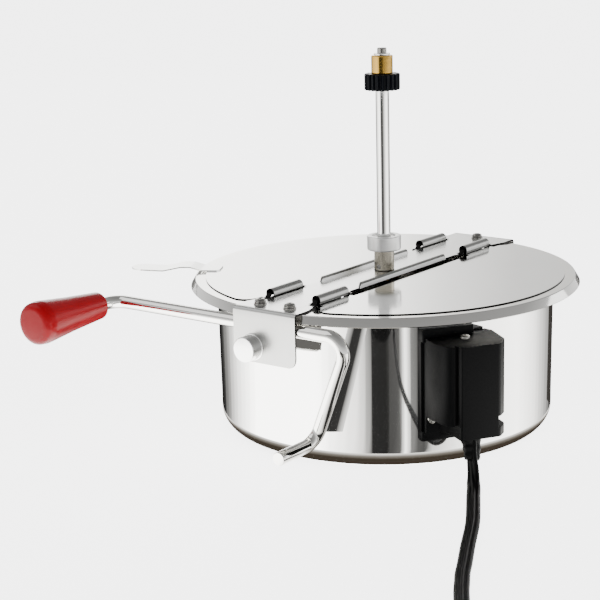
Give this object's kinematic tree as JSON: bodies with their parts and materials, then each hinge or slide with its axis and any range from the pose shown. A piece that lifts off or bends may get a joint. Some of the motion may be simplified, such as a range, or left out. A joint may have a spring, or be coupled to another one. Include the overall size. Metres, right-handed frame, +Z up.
{
  "type": "popcorn popping kettle",
  "caption": "Round polished steel popping kettle with two hinged half lids, top-driven stirrer, red dump handle, pivot pins, terminal box and mains lead.",
  "frame": {"origin": "the kettle axis on the base plane", "axes": "+Z up along the stirrer; the crossbar and both pivot pins run along Y, front pin towards -Y; dump grip at -X"},
  "size_m": [0.4184, 0.539, 0.2368],
  "materials": {
    "mirror_steel": "mirror polished sheet",
    "satin_steel": "brushed or drawn",
    "fasteners": "plated",
    "brass": "turned",
    "spreader": "cast",
    "heater": "oxidised sheath",
    "grip_red": "glossy",
    "black_plastic": "fine grained moulding",
    "lead_black": "satin cord jacket",
    "glass_fibre": "woven",
    "ceramic": "glazed ceramic"
  },
  "bodies": {
    "kettle": {"pot_shell": "mirror_steel", "inner_pan": "mirror_steel", "heat_spreader": "spreader", "heating_element": "heater", "element_clamp": "satin_steel", "base_studs": "fasteners", "base_nuts": "fasteners", "insulation_pad": "glass_fibre", "thermostat": "black_plastic", "thermal_fuse": "ceramic", "internal_leads": "glass_fibre", "lead_grommet": "lead_black", "crossbar": "satin_steel", "bar_screws": "fasteners", "bar_nuts": "fasteners", "shaft_bush": "brass", "pan_bearing": "fasteners", "pivot_pin_front": "satin_steel", "pivot_pin_rear": "satin_steel", "pin_nuts": "fasteners", "handle_rod": "satin_steel", "handle_grip": "grip_red", "box_base": "black_plastic", "box_cover": "black_plastic", "cover_screws": "fasteners", "terminal_block": "ceramic", "strain_relief": "lead_black", "power_cord": "lead_black", "cord_coil": "lead_black", "cord_tail": "lead_black", "cord_tie": "black_plastic", "plug_body": "black_plastic", "plug_blades": "brass"},
    "left_lid": {"lid_left": "mirror_steel"},
    "right_lid": {"lid_right": "mirror_steel"},
    "stirrer": {"drive_tube": "satin_steel", "drive_gear": "black_plastic", "top_washer": "fasteners", "top_screw": "fasteners", "thrust_collar": "satin_steel", "coupling_sleeve": "satin_steel", "set_screw": "fasteners", "stirrer_spindle": "satin_steel", "stirrer_arms": "satin_steel"},
    "bearing": {"bearing_bush": "brass"}
  },
  "joints": [
    {"name": "left_lid_hinge", "type": "hinge", "parent": "kettle", "child": "left_lid", "pos_m": [-0.017, 0, 0.0991], "axis": [0, 1, 0], "range_deg": [0, 95]},
    {"name": "right_lid_hinge", "type": "hinge", "parent": "kettle", "child": "right_lid", "pos_m": [0.017, 0, 0.0991], "axis": [0, -1, 0], "range_deg": [0, 95]},
    {"name": "stirrer_turn", "type": "hinge", "parent": "kettle", "child": "stirrer", "pos_m": [0, 0, 0.1], "axis": [0, 0, 1], "continuous": true},
    {"name": "bearing_turn", "type": "hinge", "parent": "stirrer", "child": "bearing", "pos_m": [0, 0, 0.227], "axis": [0, 0, 1], "continuous": true}
  ]
}
